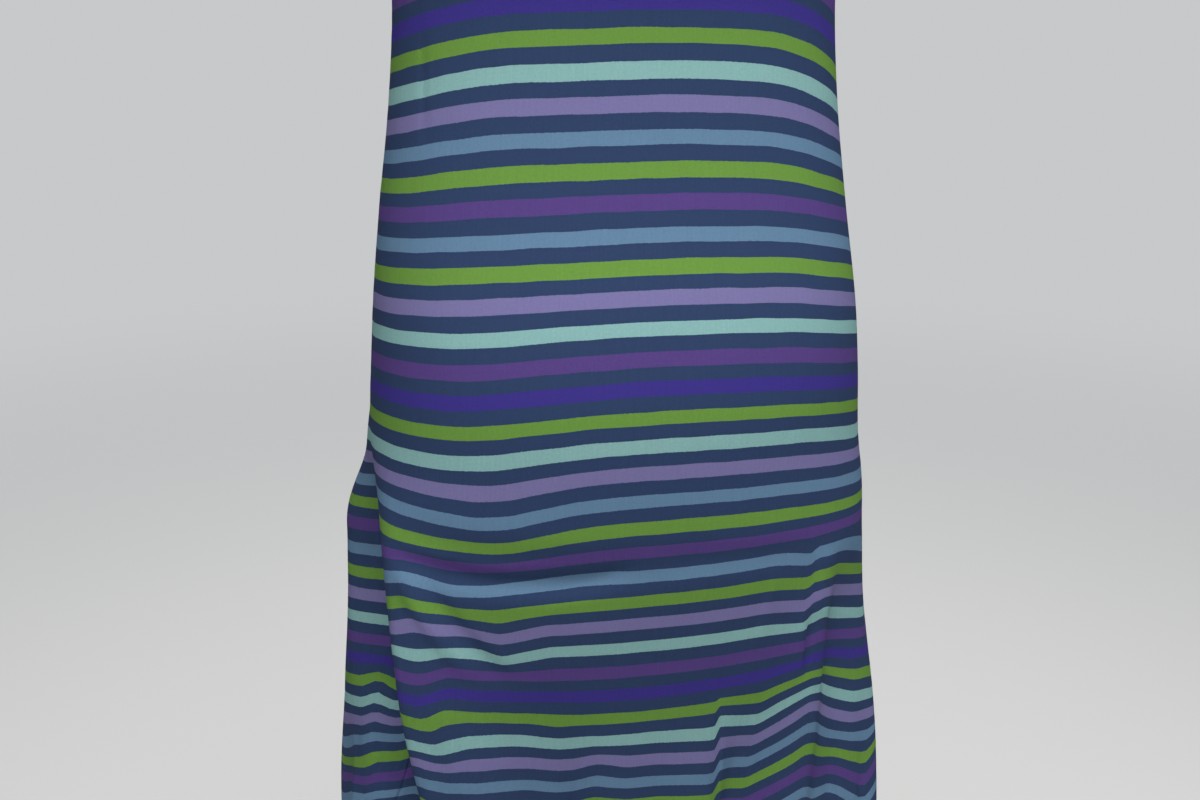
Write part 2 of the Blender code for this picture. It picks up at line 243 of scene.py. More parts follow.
# A crease runs from one place to another, always upwards or from left to right, bowed to
# its left by `bow` (to its right, where that is below zero).  It is a ridge of that height
# (a trough, where it is below zero) that falls away over the widths `left` and `right`, as
# one who follows it has them.  Those that reach the hem start below it.
Crease = namedtuple("Crease", "turn level end_turn end_level bow height left right")
CREASES = table(
    Crease,
    # under the edge of the form
    (-0.83, -700, 0.30, -728, -16, -2.4, 26, 22),
    (-0.80, -719, 0.02, -731, -13, -5.8, 9, 20),
    (0.05, -728, 0.60, -735, 0, -1.8, 16, 20),
    # the slanting fold on the left, and the drapes below it
    (-0.74, -728, -0.47, -824, 0, 3.6, 16, 10),
    (-0.66, -735, -0.36, -830, -5, -3.4, 12, 16),
    (-0.50, -1000, -0.60, -845, 0, -2.2, 9, 12),
    (-0.44, -1050, -0.47, -845, 0, 1.8, 12, 14),
    (-0.23, -1100, -0.22, -848, 0, -1.2, 14, 14),
    (-0.10, -1100, -0.09, -848, 0, 1.0, 12, 14),
    # the pleat right of the centre
    (0.385, -1200, 0.288, -835, 0, 2.4, 5, 20),
    (0.368, -1200, 0.268, -835, 0, -2.0, 9, 5),
    # the folds on the right
    (0.40, -815, 0.44, -738, 0, 1.0, 8, 8),
    (0.60, -800, 0.60, -735, 0, 2.6, 7, 26),
    (0.575, -848, 0.577, -786, 0, -4.0, 5, 6),
    (0.48, -1300, 0.43, -850, 0, 1.3, 10, 9),
    (0.59, -1300, 0.575, -840, 0, 1.4, 16, 18),
    (0.675, -1300, 0.675, -760, 0, 5.0, 22, 26),
    (0.83, -1300, 0.760, -862, 0, -2.8, 8, 7),
    (0.905, -1300, 0.872, -840, 0, -2.4, 4, 4),
    (0.96, -1300, 0.93, -845, 0, 2.4, 10, 12),
    (1.03, -1300, 1.00, -780, 0, 4.0, 26, 26),
    # the stretch beyond the deep fold
    (-0.98, -1040, -1.17, -862, 0, -2.2, 7, 8),
    (-0.93, -1040, -1.11, -850, 0, 2.6, 8, 8),
    (-0.93, -1010, -1.07, -868, 0, -2.0, 8, 8),
    (-1.24, -1300, -1.24, -880, 0, 6.0, 34, 30),
    (-1.17, -760, -1.11, -635, 0, 3.5, 30, 24),
    # the sides and the back, down from the seat
    (1.25, -742, 1.95, -752, -14, -2.2, 24, 15),
    (1.95, -748, 2.75, -735, -16, -2.6, 24, 15),
    (1.42, -742, 1.58, -800, 4, 2.0, 13, 12),
    (2.36, -812, 2.52, -738, 5, 2.2, 13, 12),
    (1.18, -1300, 1.22, -760, 6, 2.4, 16, 14),
    (1.40, -1250, 1.44, -800, -5, -2.2, 14, 16),
    (1.72, -1300, 1.70, -770, 8, 2.0, 16, 18),
    (2.05, -1300, 2.02, -790, -6, 2.4, 18, 14),
    (2.20, -1250, 2.17, -830, 4, -2.4, 13, 15),
    (2.36, -1300, 2.33, -760, 6, 2.2, 16, 14),
    (2.62, -1250, 2.66, -745, -8, -2.4, 14, 15),
    # the waist and the underarms
    (-0.72, -452, -0.75, -372, 0, -0.8, 5, 6),
    (-0.95, -330, -0.50, -312, 4, -1.3, 10, 10),
    (0.50, -308, 0.95, -332, 4, -1.3, 10, 11),
    (1.10, -352, 1.60, -342, 5, -1.8, 13, 12),
    (1.50, -372, 2.40, -368, -4, -2.2, 14, 13),
    (2.40, -345, 2.90, -356, 5, -1.6, 12, 12),
    (1.75, -396, 2.30, -399, 3, -1.4, 11, 11),
    (-0.92, -262, -0.60, -222, 5, -1.7, 14, 12),
    (0.60, -222, 0.92, -262, -5, -1.7, 12, 14),
    (1.08, -255, 1.38, -220, -5, -1.6, 13, 12),
    (2.62, -220, 2.92, -255, 5, -1.6, 12, 13),
)

SEAM_GROOVE = 0.15
SEAM_GROOVE_WIDTH = 2.2
SEAM_PUCKER = 0.35
SEAM_PUCKER_LENGTH = 17.0
SEAM_PUCKER_REACH = 11.0
# Over this share of the rows above the underarms, the side seam's groove runs out.
SEAM_END = 0.25
STITCH_GROOVE = 0.35
STITCH_GROOVE_WIDTH = 1.1
DRAPE_UNEVENNESS = 0.5
DRAPE_SCALE = 95.0
DRAPE_LEAST = 0.35
# The cloth hangs freely from DRAPE_LEVEL down, and wholly so DRAPE_REACH below it.
DRAPE_LEVEL = -640.0
DRAPE_REACH = 200.0

# Small wanderings of the stripes, which even flat jersey has.
STRIPE_WANDER = 0.55
STRIPE_WANDER_SCALE = 19.0

# --- what can be set in the panel ---


def a_length(name, default, description):
    return FloatProperty(
        name=name, description=description, default=default, unit="LENGTH", subtype="DISTANCE"
    )


def an_angle(name, degrees, description):
    return FloatProperty(
        name=name, description=description, default=math.radians(degrees), subtype="ANGLE"
    )


def a_power(name, watts, description):
    return FloatProperty(name=name, description=description, default=watts, subtype="POWER")


def a_yarn(name, *rgb):
    return FloatVectorProperty(
        name=name,
        description=f"Colour of the {name.lower()} yarn in daylight, as seen on a screen",
        default=[value / 255 for value in rgb],
        size=3,
        min=0.0,
        max=1.0,
        subtype="COLOR_GAMMA",
    )


class ClothSizes(bpy.types.PropertyGroup):
    """Sizes of the jersey and of what is sewn from it."""

    thickness: a_length("Cloth thickness", 0.0010, "Thickness of one layer of jersey")
    row_step: a_length("Row step", 0.0042, "Distance between two rows of the sheets")
    stripe_pitch: a_length("Stripe pitch", 0.02016, "Height of a coloured stripe and the navy one below it")
    hem_depth: a_length("Hem depth", 0.022, "How far the hem is turned up inside")
    hem_stitching: a_length("Hem stitching", 0.019, "Height of the upper row of stitches over the edge")
    needle_distance: a_length("Needle distance", 0.005, "Distance between the hem's two rows of stitches")
    binding_width: a_length("Binding width", 0.009, "Width of the bindings round neck and armholes")
    stitch_length: a_length("Stitch length", 0.0029, "Length of one visible stitch")
    thread_width: a_length("Thread width", 0.00045, "Width of the sewing thread")


class YarnColours(bpy.types.PropertyGroup):
    """Colours of the yarns, as seen on a screen."""

    navy: a_yarn("Navy", 48, 66, 101)
    violet: a_yarn("Violet", 62, 52, 138)
    green: a_yarn("Green", 108, 151, 66)
    mint: a_yarn("Mint", 137, 182, 180)
    lavender: a_yarn("Lavender", 122, 117, 165)
    blue: a_yarn("Blue", 100, 133, 163)
    purple: a_yarn("Purple", 88, 66, 132)
    thread: a_yarn("Thread", 46, 60, 88)


class StudioValues(bpy.types.PropertyGroup):
    """Camera, light and floor."""

    distance: a_length("Camera distance", 1.2, "Level distance from the camera to the dress's middle")
    side_step: a_length("Camera side step", 0.010, "How far the camera stands left of the middle")
    camera_level: a_length("Camera level", -0.2524, "Height of the camera, from the shoulders")
    swing: an_angle("Camera swing", 11, "How far the camera stands round to the left of the front")
    tilt: an_angle("Camera tilt", 18, "How far the camera looks down")
    lens: FloatProperty(
        name="Lens",
        description="Focal length on a 36 mm wide picture",
        default=53.25,
        subtype="DISTANCE_CAMERA",
    )
    top_light: a_power("Top light", 78.0, "Power of the large light above and in front, in watts")
    front_light: a_power("Front light", 10.5, "Power of the light in front, in watts")
    back_light: a_power("Back light", 30.0, "Power of the light behind, in watts")
    room_light: FloatProperty(
        name="Room light", description="Strength of the even light of the room", default=0.11
    )
    floor_level: a_length("Floor level", -1.42, "Height of the floor, from the shoulders")


def sizes():
    return bpy.context.scene.dress_sizes


def yarns():
    return bpy.context.scene.dress_yarns


def studio():
    return bpy.context.scene.dress_studio


# --- the form's surface ---


def smooth(share):
    """0 to 1 with level ends, for a share of the way."""
    share = min(max(share, 0.0), 1.0)
    return share * share * (3 - 2 * share)


def mix(a, b, share):
    return a + (b - a) * share


def rising_power(value, exponent):
    return max(value, 0.0) ** exponent


def way_run(points):
    """The way along the points, up to each of them."""
    run = [0.0]
    for a, b in zip(points, points[1:]):
        run.append(run[-1] + math.dist(a, b))
    return run


def level_part(vector):
    """The level direction of a vector."""
    return Vector((vector.x, vector.y, 0)).normalized()


def table_row(table, level):
    """The row of a table above a level, counted, and how far the level lies past it."""
    row = 0
    while row < len(table) - 2 and level < table[row + 1].level:
        row += 1
    near, far = table[row], table[row + 1]
    return row, (level - near.level) / (far.level - near.level)


def section_at(level):
    """The section at a level, on a smooth curve through the rows of SECTIONS."""
    row, t = table_row(SECTIONS, level)
    near, far = SECTIONS[row], SECTIONS[row + 1]
    before = SECTIONS[max(row - 1, 0)]
    after = SECTIONS[min(row + 2, len(SECTIONS) - 1)]
    span = far.level - near.level
    values = [level]
    for column in range(1, len(near)):
        slope_near = (far[column] - before[column]) / (far.level - before.level) * span
        slope_far = (after[column] - near[column]) / (after.level - near.level) * span
        values.append(
            near[column] * (1 + 2 * t) * (1 - t) ** 2
            + slope_near * t * (1 - t) ** 2
            + far[column] * (3 - 2 * t) * t**2
            + slope_far * (t - 1) * t**2
        )
    return Section(*values)


@functools.cache
def quarter_outline(level, on_back):
    """Points of a quarter section from its centre to its side, with the way run so far."""
    section = section_at(level)
    depth = section.back if on_back else section.front
    points = []
    for step in range(OUTLINE_STEPS + 1):
        angle = math.pi / 2 * step / OUTLINE_STEPS
        across = section.half_width * rising_power(math.sin(angle), 2 / section.squareness)
        along = depth * rising_power(math.cos(angle), 2 / section.squareness)
        points.append((across, along))
    return points, way_run(points)


def quarter_point(share, level, on_back):
    """The point that far along the quarter section, by length."""
    points, run = quarter_outline(level, on_back)
    wanted = share * run[-1]
    high = min(max(bisect_left(run, wanted), 1), OUTLINE_STEPS)
    part = (wanted - run[high - 1]) / (run[high] - run[high - 1])
    inner, outer = points[high - 1], points[high]
    return mix(inner[0], outer[0], part), mix(inner[1], outer[1], part)


def quarter_length(level, on_back=False):
    return quarter_outline(level, on_back)[1][-1]


def turns_past(turn, other):
    """How far a turn lies past another, the short way round."""
    return (turn - other + 2) % 4 - 2


def side_fade(away, left, right):
    """1 in the middle of a fold, 0 where it has run out on either side."""
    reach = abs(away) / (left if away < 0 else right)
    return 0.5 + 0.5 * math.cos(math.pi * reach) if reach < 1 else 0.0


def sharp_fade(away, left, right):
    """The same with a sharper crest, where a ring bends."""
    reach = math.hypot(away / (left if away < 0 else right), CREST_ROUNDING)
    return (max(1 - reach, 0.0) / (1 - CREST_ROUNDING)) ** CREST_SHARPNESS


def fold_height(turn, level):
    """How far the folds push the cloth out at this place."""
    total = 0.0
    for fold in FOLDS:
        if level >= fold.start:
            continue
        grown = smooth((fold.start - level) / (fold.start - fold.full))
        down = (fold.start - level) / (fold.start - HEM_LEVEL)
        away = turns_past(turn, mix(fold.at_start, fold.at_hem, down))
        total += fold.height * grown * side_fade(away, fold.left, fold.right)
    return total


def tube_point(turn, level):
    """The outer surface of the cloth at a turn and a level."""
    turn = (turn + 1) % 4 - 1
    on_back = turn > 1
    across = 2 - turn if on_back else turn
    x, y = quarter_point(abs(across), level, on_back)
    scale = 1 + fold_height(turn, level) / math.hypot(x, y)
    side = 1 if on_back else -1
    return Vector((math.copysign(x, across) * scale, side * y * scale, level))


def tube_normal(turn, level):
    around = tube_point(turn + TURN_STEP, level) - tube_point(turn - TURN_STEP, level)
    upward = tube_point(turn, level + LEVEL_STEP) - tube_point(turn, level - LEVEL_STEP)
    return around.cross(upward).normalized()


def shoulder_level(x):
    return -SHOULDER_SLOPE * (abs(x) - NECK_HALF_WIDTH)


def share_at(face, x):
    """The share of the underarm quarter's length at which it reaches this x."""
    points, run = quarter_outline(UNDERARM_LEVEL, face.side > 0)
    step = 1
    while points[step][0] < x:
        step += 1
    inner, outer = points[step - 1], points[step]
    part = (x - inner[0]) / (outer[0] - inner[0])
    return mix(run[step - 1], run[step], part) / run[-1]


def upper_point(face, share, rise):
    """A point above the underarms, at a signed share of the quarter's length; rise is 0
    at the underarm level and a right angle on top of the shoulder."""
    x, y = quarter_point(abs(share), UNDERARM_LEVEL, face.side > 0)
    y *= rising_power(math.cos(rise), 2 / face.profile)
    height = shoulder_level(x) - UNDERARM_LEVEL
    z = UNDERARM_LEVEL + height * rising_power(math.sin(rise), 2 / face.profile)
    return Vector((math.copysign(x, share), face.side * max(y, SEAM_GAP / 2), z))


def upper_normal(face, share, rise):
    if rise > SHOULDER_TOP_RISE:
        return Vector((math.copysign(SHOULDER_SLOPE, share), 0, 1)).normalized()
    low = max(share - UPPER_STEP, -1.0)
    high = min(share + UPPER_STEP, 1.0)
    across = upper_point(face, high, rise) - upper_point(face, low, rise)
    upward = upper_point(face, share, rise + UPPER_STEP) - upper_point(face, share, rise - UPPER_STEP)
    return across.cross(upward).normalized() * -face.side


def upper_length(face, share, rise):
    """How far the form runs straight up from the underarm level to this rise."""
    steps = range(LENGTH_STEPS + 1)
    return way_run([upper_point(face, share, rise * step / LENGTH_STEPS) for step in steps])[-1]


def upper_cloth_length(face, share, rise):
    """The same in the cloth, which gives a little, so that stripes run across the straps."""
    middle = share_at(face, (NECK_HALF_WIDTH + STRAP_OUTER) / 2)
    top = math.pi / 2
    short = upper_length(face, middle, top) - upper_length(face, share, top)
    return upper_length(face, share, rise) + STRAP_GIVE * short * (rise / top) ** 3


def rise_of(face, way_up):
    """The rise at which that share of the height to the shoulder is reached."""
    return math.asin(min(rising_power(way_up, face.profile / 2), 1.0))


def armhole_edge(face, angle):
    """The armhole's share and rise at an angle of its curve, from 0 at the underarm."""
    inward = rising_power(math.sin(angle), 2 / ARMHOLE_ROUNDNESS)
    way_up = 1 - rising_power(math.cos(angle), 2 / ARMHOLE_ROUNDNESS)
    share = mix(1, share_at(face, STRAP_OUTER), inward)
    share -= ARMHOLE_SCOOP * 4 * way_up * (1 - way_up)
    return share, rise_of(face, way_up)


def neck_edge(face, angle):
    """The neckline's share and rise at an angle of its U, from 0 at the centre."""
    x = NECK_HALF_WIDTH * rising_power(math.sin(angle), 2 / NECK_ROUNDNESS)
    level = -face.neck_drop * rising_power(math.cos(angle), 2 / NECK_ROUNDNESS)
    way_up = (level - UNDERARM_LEVEL) / (shoulder_level(x) - UNDERARM_LEVEL)
    return share_at(face, x), rise_of(face, way_up)


def neck_rise_at(face, share):
    x = quarter_point(abs(share), UNDERARM_LEVEL, face.side > 0)[0]
    angle = math.asin(min((x / NECK_HALF_WIDTH) ** (NECK_ROUNDNESS / 2), 1.0))
    return neck_edge(face, angle)[1]


# --- creases and stripes on the form ---


def crease_height(turn, level):
    """What the creases add at this place."""
    total = 0.0
    quarter = quarter_length(max(min(level, UNDERARM_LEVEL), HEM_LEVEL), turn > 1)
    for crease in CREASES:
        reach = max(crease.left, crease.right) + abs(crease.bow)
        ends = crease.level, crease.end_level
        if not min(ends) - reach <= level <= max(ends) + reach:
            continue
        across = turns_past(turn, crease.turn) * quarter
        up = level - crease.level
        run = (crease.end_turn - crease.turn) * quarter
        climb = crease.end_level - crease.level
        length = math.hypot(run, climb)
        along = (across * run + up * climb) / length**2
        if not 0 < along < 1:
            continue
        taper = 4 * along * (1 - along)
        leftward = (up * run - across * climb) / length - crease.bow * taper
        total += crease.height * side_fade(leftward, crease.right, crease.left) * smooth(taper)
    return total


def drape_height(point):
    """The faint unevenness of cloth that hangs freely."""
    loose = DRAPE_LEAST + smooth((DRAPE_LEVEL - point.z) / DRAPE_REACH)
    return DRAPE_UNEVENNESS * loose * noise.noise(point / DRAPE_SCALE)


def seam_depth(turn, level):
    """How far the cloth is drawn in next to the nearer side seam."""
    away = abs(turn % 2 - 1) * quarter_length(max(level, HEM_LEVEL))
    groove = SEAM_GROOVE * math.exp(-((away / SEAM_GROOVE_WIDTH) ** 2))
    if away > 3 * SEAM_PUCKER_REACH:
        return groove
    wave = noise.noise(Vector((turn, 0, level / SEAM_PUCKER_LENGTH * 2)))
    return groove + SEAM_PUCKER * wave * math.exp(-away / SEAM_PUCKER_REACH)


def lift_at(turn, level):
    """How far the folds have carried the ring of cloth down at this place."""
    total = 0.0
    for lift in LIFTS:
        if not lift.bottom < level < lift.top:
            continue
        begun = smooth((lift.top - level) / (lift.top - lift.whole))
        left_over = smooth((level - lift.bottom) / (lift.fading - lift.bottom))
        way = (lift.top - level) / (lift.top - lift.bottom)
        away = turns_past(turn, mix(lift.turn, lift.end_turn, way))
        total += lift.drop * begun * left_over * sharp_fade(away, lift.left, lift.right)
    return total


def sag_at(turn, level):
    """How far the ring of cloth at this place has sunk."""
    row, t = table_row(SAGS, level)
    centre, left, left_edge, right, right_edge = (
        mix(near, far, smooth(t)) for near, far in zip(SAGS[row][1:], SAGS[row + 1][1:])
    )
    away = abs(turn) if turn <= 2 else 4 - turn
    behind = max(away - 1, 0.0)
    curve = 1 - math.cos(math.pi / 2 * min(away, 1.0))
    curve += math.pi / 2 * behind * (1 - behind) ** 2 - BACK_SETTLE * smooth(behind)
    edge = smooth((away - SAG_EDGE_START) / SAG_EDGE_REACH)
    on_left = curve * left + edge * left_edge
    on_right = curve * right + edge * right_edge
    to_left = 1.0 if turn < 0 else smooth((turn - SAG_CROSSING_START) / SAG_CROSSING_REACH)
    return centre + mix(on_right, on_left, to_left) + lift_at(turn, level)


def stitch_levels():
    """The levels of the two rows of stitches over the hem."""
    upper = HEM_LEVEL + sizes().hem_stitching / MM
    return upper - sizes().needle_distance / MM, upper


def stitch_groove(level):
    """How deep the hem's stitches draw the cloth in at a level."""
    ways = [(level - row) / STITCH_GROOVE_WIDTH for row in stitch_levels()]
    return STITCH_GROOVE * sum(math.exp(-(way**2)) for way in ways)


# A point of a sheet, with the way round and the way up at which the cloth has it.
Place = namedtuple("Place", "point normal turn up")


def tube_place(turn, level):
    point = tube_point(turn, level)
    rise = crease_height(turn, level) + drape_height(point)
    rise -= seam_depth(turn, level) + stitch_groove(level)
    creased = point + level_part(point) * rise
    return Place(creased, tube_normal(turn, level), turn, level + sag_at(turn, level))


def cloth_marks(place):
    """The way round and the way up in the cloth, in metres."""
    wander = STRIPE_WANDER * noise.noise(place.point / STRIPE_WANDER_SCALE)
    return place.turn * quarter_length(HEM_LEVEL) * MM, (place.up + wander) * MM


# --- panels ---


def even_steps(start, end, count):
    """Values from after start up to end, evenly."""
    return [mix(start, end, step / count) for step in range(1, count + 1)]


def column_turns(spans):
    turns = [spans[0].start]
    for span in spans:
        turns += even_steps(span.start, span.end, span.strips)
    return turns


def row_levels():
    """Levels from the hem up to the underarms, closer where the stitches run."""
    lower, upper = stitch_levels()
    row_step = sizes().row_step / MM
    levels = [HEM_LEVEL]
    for end, step in (
        (lower - STITCHED_MARGIN, row_step),
        (upper + STITCHED_MARGIN, STITCHED_STEP),
        (UNDERARM_LEVEL, row_step),
    ):
        levels += even_steps(levels[-1], end, max(round((end - levels[-1]) / step), 1))
    return levels


class Panel:
    """A front or back, laid out in columns and rows from the turned-up hem upwards."""

    def __init__(self, face, spans):
        self.face = face
        self.turns = column_turns(spans)
        self.levels = row_levels()
        self.last_column = len(self.turns) - 1
        self.hem_row = ROLL_ROWS + TURN_UP_ROWS
        self.underarm_row = self.hem_row + len(self.levels) - 1
        self.neck_row = self.underarm_row + CHEST_ROWS
        self.top_row = self.neck_row + STRAP_ROWS
        self.centre = 0 if face.side < 0 else 2
        self.shares = [face.side * (self.centre - turn) for turn in self.turns]
        far = [abs(share) > STRAP_FIRST_SHARE for share in self.shares]
        self.first_inner = far.index(False) - 1
        self.last_inner = len(far) - far[::-1].index(False)
        self.neck_share, self.neck_rise = neck_edge(face, STRAP_START)

    def kept(self, column, row):
        """Whether the panel's cut reaches this place, and not the neck's opening."""
        on_strap = column <= self.first_inner or column >= self.last_inner
        return row <= self.neck_row or on_strap

    def strap_share(self, column):
        """How far out the strap on this column's side begins, as a share."""
        same_side = self.shares[column] * self.shares[self.first_inner] > 0
        return abs(self.shares[self.first_inner if same_side else self.last_inner])

    def between(self, column, inner, armhole_angle):
        """A strap column's share and rise, between its inner edge and the armhole's."""
        outer = armhole_edge(self.face, armhole_angle)
        start = self.strap_share(column)
        part = (abs(self.shares[column]) - start) / (1 - start)
        share = math.copysign(mix(inner[0], outer[0], part), self.shares[column])
        return share, mix(inner[1], outer[1], part)

    def upper_spot(self, column, row):
        """Share and rise of a place above the underarms."""
        if row > self.neck_row:
            way = (row - self.neck_row) / STRAP_ROWS
            angle = mix(math.pi / 2, STRAP_START, (1 - way) ** ROW_CROWDING)
            return self.between(column, neck_edge(self.face, angle), angle)
        way = (row - self.underarm_row) / CHEST_ROWS
        share = self.shares[column]
        start = self.strap_share(column)
        inner = mix(start, self.neck_share, way)
        if self.first_inner < column < self.last_inner:
            rise = way * neck_rise_at(self.face, share / start * self.neck_share)
            return share / start * inner, rise
        return self.between(column, (inner, way * self.neck_rise), way * STRAP_START)

    def upper_place(self, column, row):
        """A place on the chest, the upper back or a strap."""
        spot = self.upper_spot(column, row)
        point = upper_point(self.face, *spot)
        normal = upper_normal(self.face, *spot)
        turn = self.turns[column]
        way_up = (row - self.underarm_row) / (self.top_row - self.underarm_row)
        height = crease_height(turn, point.z) + drape_height(point)
        height -= seam_depth(turn, point.z) * smooth(1 - way_up / SEAM_END)
        below = self.centre - self.face.side * spot[0]
        start = UNDERARM_LEVEL + sag_at(below, UNDERARM_LEVEL)
        cloth_up = start + upper_cloth_length(self.face, *spot)
        return Place(point + normal * height, normal, turn, cloth_up)

    def hem_place(self, column, row):
        """The hem's fold and the cloth turned up inside it, below the sheet's own rows."""
        turn = self.turns[column]
        edge = tube_place(turn, HEM_LEVEL)
        radius = sizes().thickness / MM
        depth = sizes().hem_depth / MM
        steps_down = self.hem_row - row
        cloth_up = edge.up - steps_down / self.hem_row * depth
        if steps_down <= ROLL_ROWS:
            angle = math.pi * steps_down / ROLL_ROWS
            point = edge.point - level_part(edge.normal) * radius * (1 - math.cos(angle))
            point.z -= radius * math.sin(angle)
            return Place(point, None, turn, cloth_up)
        up = (steps_down - ROLL_ROWS) / TURN_UP_ROWS * depth
        above = tube_place(turn, HEM_LEVEL + up)
        return Place(above.point - level_part(above.normal) * radius * 2, None, turn, cloth_up)

    def place(self, column, row):
        if row < self.hem_row:
            return self.hem_place(column, row)
        if row <= self.underarm_row:
            return tube_place(self.turns[column], self.levels[row - self.hem_row])
        return self.upper_place(column, row)


def laid_grid(columns, rows):
    """A grid of that many cells, and the column and row of each of its points."""
    bm = bmesh.new()
    bmesh.ops.create_grid(bm, x_segments=columns, y_segments=rows, size=1)
    places = {}
    for vert in bm.verts:
        column = round((vert.co.x + 1) / 2 * columns)
        row = round((vert.co.y + 1) / 2 * rows)
        places[vert] = column, row
    return bm, places


def write_marks(bm, marks):
    """Stores each point's cloth marks as the UV map that the materials read."""
    layer = bm.loops.layers.uv.new("cloth")
    for face in bm.faces:
        for loop in face.loops:
            loop[layer].uv = marks[loop.vert]


def add_object(name, data):
    obj = bpy.data.objects.new(name, data)
    bpy.context.scene.collection.objects.link(obj)
    return obj


def add_mesh(name, bm, material):
    mesh = bpy.data.meshes.new(name)
    bm.to_mesh(mesh)
    bm.free()
    mesh.materials.append(material)
    return add_object(name, mesh)


def finished_piece(name, bm, material):
    piece = add_mesh(name, bm, material)
    piece.data.shade_smooth()
    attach(piece, "root")
    return piece


def sheet_piece(name, panel, material):
    """The panel as a thin sheet with its hem turned up."""
    bm, places = laid_grid(panel.last_column, panel.top_row)
    spare = [vert for vert, place in places.items() if not panel.kept(*place)]
    for vert in spare:
        del places[vert]
    bmesh.ops.delete(bm, geom=spare, context="VERTS")
    laid = {vert: panel.place(*place) for vert, place in places.items()}
    for vert, place in laid.items():
        vert.co = place.point * MM
    write_marks(bm, {vert: cloth_marks(place) for vert, place in laid.items()})
    piece = finished_piece(name, bm, material)
    wall = piece.modifiers.new("Cloth thickness", "SOLIDIFY")
    wall.thickness = sizes().thickness
    wall.offset = -1
    return piece


# --- bindings and stitches along the edges ---

EDGE_STEPS = 90
BINDING_WALL = 1.6
BINDING_STEP = 2.6
BINDING_OVERLAP = 1.2
BINDING_PROUD = 0.55
BINDING_WAVE = 0.22
BINDING_WAVE_LENGTH = 13.0
BINDING_BELLY = 0.5
BINDING_SIDES = 16
SQUARE_CORNERS = 5.0
BINDING_STITCH_IN = 1.0
BINDING_STITCH_RISE = 0.15
STITCH_GAP = 0.7
STITCH_RISE = 0.2
HEM_RING_POINTS = 1600
SAME_POINT = 1e-6


def edge_side(face, edge, sign):
    """Points and normals along one side of a face's edge, from its low end upwards."""
    side = []
    for step in range(EDGE_STEPS + 1):
        share, rise = edge(face, math.pi / 2 * step / EDGE_STEPS)
        spot = face, share * sign, rise
        side.append((upper_point(*spot), upper_normal(*spot)))
    return side


def neck_loop():
    """Once round the neckline, beginning on top of the left strap."""
    front = edge_side(FRONT, neck_edge, -1)[:0:-1] + edge_side(FRONT, neck_edge, 1)[:-1]
    back = edge_side(BACK, neck_edge, 1)[:0:-1] + edge_side(BACK, neck_edge, -1)[:-1]
    return front + back


def armhole_loop(sign):
    """Once round an armhole, beginning under the arm."""
    return edge_side(FRONT, armhole_edge, sign)[:-1] + edge_side(BACK, armhole_edge, sign)[:0:-1]


def evenly(loop, step):
    """The closed loop again, with its points about a step apart."""
    closed = loop + loop[:1]
    run = way_run([point for point, _ in closed])
    count = round(run[-1] / step)
    spaced = []
    for number in range(count):
        wanted = run[-1] * number / count
        at = max(bisect_left(run, wanted), 1)
        part = (wanted - run[at - 1]) / (run[at] - run[at - 1])
        (point_a, normal_a), (point_b, normal_b) = closed[at - 1], closed[at]
        spaced.append((point_a.lerp(point_b, part), normal_a.lerp(normal_b, part).normalized()))
    return spaced


def open_side(loop):
    """At each point of a loop, the direction along the cloth into the opening."""
    ways = []
    for place, (_, normal) in enumerate(loop):
        along = loop[(place + 1) % len(loop)][0] - loop[place - 1][0]
        ways.append(along.cross(normal).normalized())
    centre = sum((point for point, _ in loop), Vector()) / len(loop)
    inward = sum(way.dot(centre - point) for way, (point, _) in zip(ways, loop))
    return ways if inward > 0 else [-way for way in ways]


def squared(value):
    """A sine or cosine, bent so that a circle has nearly square corners."""
    return math.copysign(rising_power(abs(value), 2 / SQUARE_CORNERS), value)


def binding_piece(name, loop, material):
    """A folded strip sewn over a loop of the panels' edges, on its open side."""
    loop = evenly(loop, BINDING_STEP)
    ways = open_side(loop)
    width = sizes().binding_width / MM + BINDING_OVERLAP
    height = BINDING_WALL + 2 * BINDING_PROUD
    girth = 2 * (width + height)
    bm, places = laid_grid(len(loop), BINDING_SIDES)
    marks = {}
    for vert, (column, row) in places.items():
        point, normal = loop[column % len(loop)]
        way = ways[column % len(loop)]
        angle = 2 * math.pi * row / BINDING_SIDES
        across = width / 2 * squared(math.cos(angle))
        above = height / 2 * squared(math.sin(angle))
        wave = BINDING_WAVE * noise.noise(point / BINDING_WAVE_LENGTH * 2)
        belly = BINDING_BELLY * (1 - (2 * across / width) ** 2) * math.copysign(1, above)
        inward = width / 2 - BINDING_OVERLAP + SEAM_GAP / 2 + across
        outward = wave - BINDING_WALL / 2 + above + belly / 2
        vert.co = (point + way * inward + normal * outward) * MM
        marks[vert] = (column * BINDING_STEP * MM, row / BINDING_SIDES * girth * MM)
    write_marks(bm, marks)
    bmesh.ops.remove_doubles(bm, verts=bm.verts, dist=SAME_POINT)
    bmesh.ops.recalc_face_normals(bm, faces=bm.faces)
    return finished_piece(name, bm, material)


def add_stitch(bm, middle, along, normal):
    """One stitch: a small pod of thread that lies along the seam."""
    length = sizes().stitch_length / MM
    width = sizes().thread_width / MM
    sideways = normal.cross(along).normalized()
    pod = bmesh.ops.create_icosphere(bm, subdivisions=1, radius=0.5)
    for vert in pod["verts"]:
        offset = along * vert.co.x * length
        offset += sideways * vert.co.y * width + normal * vert.co.z * width
        vert.co = (middle + offset) * MM


def stitch_row(bm, loop):
    """Stitches along a closed loop whose points lie a stitch and its gap apart."""
    for (a, normal_a), (b, normal_b) in zip(loop, loop[1:] + loop[:1]):
        normal = (normal_a + normal_b).normalized()
        middle = (a + b) / 2 + normal * STITCH_RISE
        add_stitch(bm, middle, (b - a).normalized(), normal)


def stitch_spacing():
    return sizes().stitch_length / MM + STITCH_GAP


